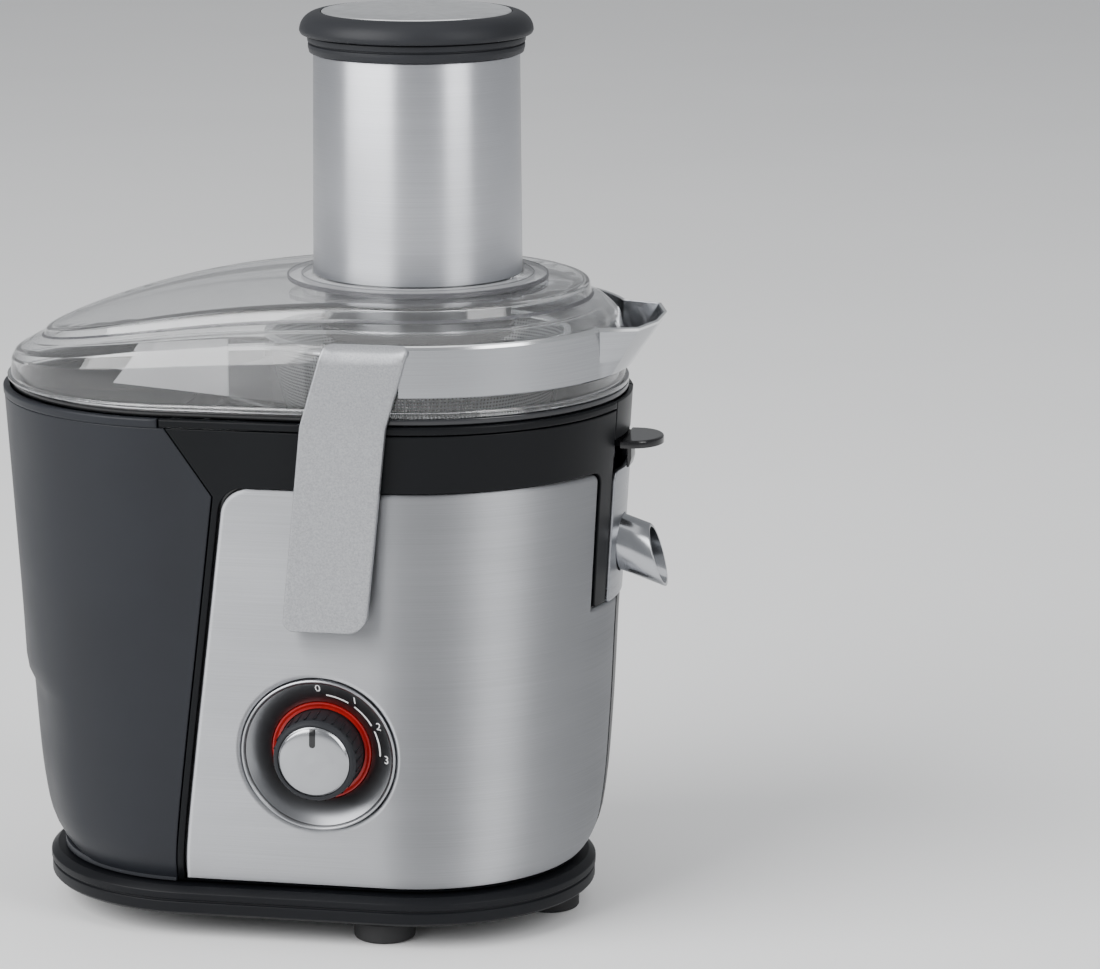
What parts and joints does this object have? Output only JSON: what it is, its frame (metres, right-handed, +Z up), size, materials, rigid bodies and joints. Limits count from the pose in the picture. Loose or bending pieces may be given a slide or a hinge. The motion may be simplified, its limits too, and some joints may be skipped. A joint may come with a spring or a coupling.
{
  "type": "centrifugal juicer",
  "caption": "Upright centrifugal juicer: steel chute with pusher, clear lid, filter basket, bowl with spout, pulp bin, motor housing, dial and locking arms.",
  "frame": {"origin": "middle of the footprint's bounding box at table height, under the feet", "axes": "+Z up along the feed chute, +X towards the juice spout, -Y towards the side with the dial"},
  "size_m": [0.3248, 0.219, 0.4397],
  "materials": {
    "charcoal_plastic": "fine satin grain",
    "brushed_panel": "brushed upright",
    "brushed_trim": "fine brushed, bright edges",
    "basket_steel": "perforated sheet",
    "motor_steel": "machined",
    "silver_paint": "metallic lacquer with fine flake",
    "gloss_black": "moulded",
    "base_black": "satin",
    "clear_plastic": "clear moulded plastic",
    "bowl_plastic": "smoky moulded",
    "red_ring": "translucent red",
    "rubber": "matt",
    "copper": "enamelled copper",
    "board_green": "lacquered"
  },
  "bodies": {
    "housing": {"housing_shell": "charcoal_plastic", "front_panel": "brushed_panel", "base_plate": "base_black", "foot_front": "rubber", "foot_back": "rubber", "foot_right": "rubber", "foot_left": "rubber", "cord_inlet": "rubber", "dial_bezel": "brushed_trim", "dial_dish": "gloss_black", "light_ring": "red_ring", "speed_switch": "base_black", "control_board": "board_green", "motor_deck": "base_black", "stator_core": "motor_steel", "coil_upper": "copper", "coil_lower": "copper", "bearing_lower": "motor_steel", "bearing_upper": "motor_steel", "bracket_lower": "silver_paint", "bracket_upper": "silver_paint", "brush_left": "base_black", "brush_right": "base_black", "latch_bracket_front": "charcoal_plastic", "latch_pin_front": "motor_steel", "latch_bracket_back": "charcoal_plastic", "latch_pin_back": "motor_steel"},
    "rotor": {"motor_shaft": "motor_steel", "rotor_core": "motor_steel", "commutator": "copper", "cooling_fan": "base_black", "drive_coupling": "base_black"},
    "container": {"pulp_container": "charcoal_plastic"},
    "bowl": {"juice_bowl": "bowl_plastic", "spout_shield": "brushed_trim", "spout_tube": "brushed_trim"},
    "drip_stop": {"drip_lever": "gloss_black"},
    "basket": {"basket_mesh": "basket_steel", "basket_rim": "basket_steel", "grater_disc": "basket_steel", "basket_hub": "base_black"},
    "lid": {"lid_cover": "clear_plastic", "lid_skirt": "gloss_black", "lid_band": "brushed_trim", "pulp_deflector": "clear_plastic", "chute_tube": "clear_plastic", "chute_flange": "clear_plastic", "chute_sleeve": "brushed_trim", "chute_collar": "gloss_black"},
    "pusher": {"pusher_body": "gloss_black", "pusher_cap": "gloss_black", "pusher_disc": "brushed_trim"},
    "knob": {"knob_body": "gloss_black", "knob_face": "silver_paint"},
    "latch_f": {"latch_front": "silver_paint"},
    "latch_b": {"latch_back": "silver_paint"}
  },
  "joints": [
    {"name": "rotor_spin", "type": "hinge", "parent": "housing", "child": "rotor", "pos_m": [0.04043, 0, 0.12], "axis": [0, 0, 1], "continuous": true},
    {"name": "container_slide", "type": "slide", "parent": "housing", "child": "container", "axis": [-1, 0, 0], "range_m": [0, 0.16]},
    {"name": "bowl_lift", "type": "slide", "parent": "housing", "child": "bowl", "axis": [0, 0, 1], "range_m": [0, 0.12]},
    {"name": "drip_slide", "type": "slide", "parent": "bowl", "child": "drip_stop", "axis": [0, 0, -1], "range_m": [0, 0.0096]},
    {"name": "basket_spin", "type": "hinge", "parent": "bowl", "child": "basket", "pos_m": [0.04043, 0, 0.222], "axis": [0, 0, 1], "continuous": true},
    {"name": "lid_lift", "type": "slide", "parent": "bowl", "child": "lid", "axis": [0, 0, 1], "range_m": [0, 0.12]},
    {"name": "pusher_slide", "type": "slide", "parent": "lid", "child": "pusher", "axis": [0, 0, 1], "range_m": [0, 0.19]},
    {"name": "knob_turn", "type": "hinge", "parent": "housing", "child": "knob", "pos_m": [0.01144, -0.0939, 0.098], "axis": [0, -0.9982, -0.0593], "range_deg": [-93, 0]},
    {"name": "latch_front_swing", "type": "hinge", "parent": "housing", "child": "latch_f", "pos_m": [0.01743, -0.1031, 0.1655], "axis": [1, 0, 0], "range_deg": [0, 40]},
    {"name": "latch_back_swing", "type": "hinge", "parent": "housing", "child": "latch_b", "pos_m": [0.01743, 0.1031, 0.1655], "axis": [-1, 0, 0], "range_deg": [0, 40]}
  ],
  "couplings": [
    {"joint": "basket_spin", "follows": "rotor_spin", "ratio": 1}
  ]
}
